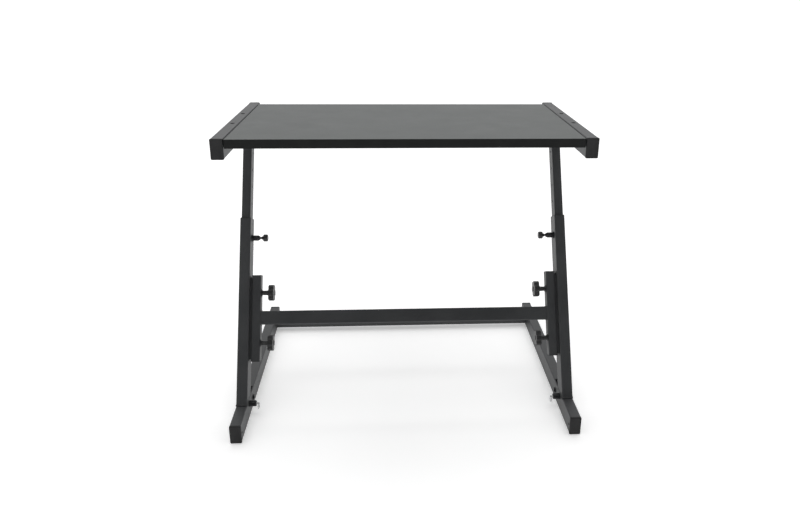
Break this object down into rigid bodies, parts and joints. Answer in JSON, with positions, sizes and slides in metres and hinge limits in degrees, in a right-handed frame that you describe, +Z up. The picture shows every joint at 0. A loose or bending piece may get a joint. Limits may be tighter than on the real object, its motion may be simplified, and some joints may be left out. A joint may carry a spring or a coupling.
{
  "type": "drafting table",
  "caption": "Height-adjustable drafting table: a flat board between two rails on leaning telescopic legs, with an H brace, long floor feet and a folding base.",
  "frame": {"origin": "on the floor, under the middle of the table's overall box", "axes": "+X to the user's right along the board, +Y to the back, +Z up"},
  "size_m": [0.9466, 0.69, 0.8075],
  "materials": {
    "frame_steel": "fine-textured black powder coat, satin",
    "cap_plastic": "moulded black polyethylene, fine grain",
    "knob_plastic": "moulded black nylon, satin",
    "black_hardware": "black oxide, satin",
    "bright_steel": "zinc plated",
    "ring_steel": "nickel plated wire",
    "board_laminate": "grey low-pressure laminate on particle board, matte",
    "banding_plastic": "black edge band, satin"
  },
  "bodies": {
    "base": {"foot_left": "frame_steel", "foot_right": "frame_steel", "foot_caps_left": "cap_plastic", "foot_caps_right": "cap_plastic", "rear_cross_tube": "frame_steel", "fold_pivot_bolts": "black_hardware", "fold_pivot_nuts": "black_hardware", "lock_pin_body_left": "black_hardware", "lock_pin_body_right": "black_hardware"},
    "legs": {"leg_tongue_left": "frame_steel", "leg_tongue_right": "frame_steel", "outer_leg_left": "frame_steel", "outer_leg_right": "frame_steel", "leg_bushes": "cap_plastic", "plunger_body_left": "black_hardware", "plunger_body_right": "black_hardware", "fold_pivot_bushes": "bright_steel", "clamp_plates": "frame_steel", "brace_end_tube_left": "frame_steel", "brace_end_tube_right": "frame_steel", "brace_end_plugs": "cap_plastic", "brace_cross_tube": "frame_steel", "knob_washers": "black_hardware"},
    "carriage": {"inner_leg_left": "frame_steel", "inner_leg_right": "frame_steel", "leg_glides": "cap_plastic", "tilt_bushes": "bright_steel"},
    "top": {"rail_left": "frame_steel", "rail_right": "frame_steel", "rail_caps_left": "cap_plastic", "rail_caps_right": "cap_plastic", "tilt_bracket_left": "frame_steel", "tilt_bracket_right": "frame_steel", "board_angle_left": "frame_steel", "board_angle_right": "frame_steel", "board": "board_laminate", "edge_banding": "banding_plastic", "rail_screws": "black_hardware", "rail_nuts": "black_hardware", "board_screws": "bright_steel", "tilt_bolts": "black_hardware"},
    "hand_knob_upper_left": {"hand_knob_upper_left": "knob_plastic"},
    "hand_knob_lower_left": {"hand_knob_lower_left": "knob_plastic"},
    "tilt_knob_left": {"tilt_knob_left": "knob_plastic"},
    "plunger_left": {"plunger_pin_left": "bright_steel", "plunger_knob_left": "knob_plastic", "plunger_spring_left": "bright_steel"},
    "lock_pin_left": {"lock_pin_left": "bright_steel", "lock_spring_left": "bright_steel"},
    "pull_ring_left": {"pull_ring_left": "ring_steel"},
    "hand_knob_upper_right": {"hand_knob_upper_right": "knob_plastic"},
    "hand_knob_lower_right": {"hand_knob_lower_right": "knob_plastic"},
    "tilt_knob_right": {"tilt_knob_right": "knob_plastic"},
    "plunger_right": {"plunger_pin_right": "bright_steel", "plunger_knob_right": "knob_plastic", "plunger_spring_right": "bright_steel"},
    "lock_pin_right": {"lock_pin_right": "bright_steel", "lock_spring_right": "bright_steel"},
    "pull_ring_right": {"pull_ring_right": "ring_steel"}
  },
  "joints": [
    {"name": "leg_fold", "type": "hinge", "parent": "base", "child": "legs", "pos_m": [0, -0.174, 0.027], "axis": [-1, 0, 0], "range_deg": [0, 63]},
    {"name": "height_slide", "type": "slide", "parent": "legs", "child": "carriage", "axis": [0, 0.454, 0.891], "range_m": [-0.2, 0.1]},
    {"name": "top_tilt", "type": "hinge", "parent": "carriage", "child": "top", "pos_m": [0, 0.11487, 0.721], "axis": [1, 0, 0], "range_deg": [0, 63]},
    {"name": "hand_knob_upper_left_turn", "type": "hinge", "parent": "legs", "child": "hand_knob_upper_left", "pos_m": [-0.4, -0.09162, 0.31574], "axis": [1, 0, 0], "continuous": true},
    {"name": "hand_knob_lower_left_turn", "type": "hinge", "parent": "legs", "child": "hand_knob_lower_left", "pos_m": [-0.4, -0.15518, 0.191], "axis": [1, 0, 0], "continuous": true},
    {"name": "tilt_knob_left_turn", "type": "hinge", "parent": "top", "child": "tilt_knob_left", "pos_m": [-0.42, 0.11487, 0.721], "axis": [1, 0, 0], "continuous": true},
    {"name": "plunger_left_pull", "type": "slide", "parent": "legs", "child": "plunger_left", "axis": [1, 0, 0], "range_m": [0, 0.007], "stiffness_N_per_m": 1200, "springref_m": -0.004, "deforming": ["plunger_spring_left"]},
    {"name": "lock_pin_left_pull", "type": "slide", "parent": "base", "child": "lock_pin_left", "axis": [1, 0, 0], "range_m": [0, 0.007], "stiffness_N_per_m": 1500, "springref_m": -0.004, "deforming": ["lock_spring_left"]},
    {"name": "pull_ring_left_swing", "type": "hinge", "parent": "lock_pin_left", "child": "pull_ring_left", "pos_m": [-0.4125, -0.226, 0.0421], "axis": [0, -1, 0], "range_deg": [-20, 120]},
    {"name": "hand_knob_upper_right_turn", "type": "hinge", "parent": "legs", "child": "hand_knob_upper_right", "pos_m": [0.4, -0.09162, 0.31574], "axis": [1, 0, 0], "continuous": true},
    {"name": "hand_knob_lower_right_turn", "type": "hinge", "parent": "legs", "child": "hand_knob_lower_right", "pos_m": [0.4, -0.15518, 0.191], "axis": [1, 0, 0], "continuous": true},
    {"name": "tilt_knob_right_turn", "type": "hinge", "parent": "top", "child": "tilt_knob_right", "pos_m": [0.42, 0.11487, 0.721], "axis": [1, 0, 0], "continuous": true},
    {"name": "plunger_right_pull", "type": "slide", "parent": "legs", "child": "plunger_right", "axis": [-1, 0, 0], "range_m": [0, 0.007], "stiffness_N_per_m": 1200, "springref_m": -0.004, "deforming": ["plunger_spring_right"]},
    {"name": "lock_pin_right_pull", "type": "slide", "parent": "base", "child": "lock_pin_right", "axis": [-1, 0, 0], "range_m": [0, 0.007], "stiffness_N_per_m": 1500, "springref_m": -0.004, "deforming": ["lock_spring_right"]},
    {"name": "pull_ring_right_swing", "type": "hinge", "parent": "lock_pin_right", "child": "pull_ring_right", "pos_m": [0.4125, -0.226, 0.0421], "axis": [0, 1, 0], "range_deg": [-20, 120]}
  ]
}
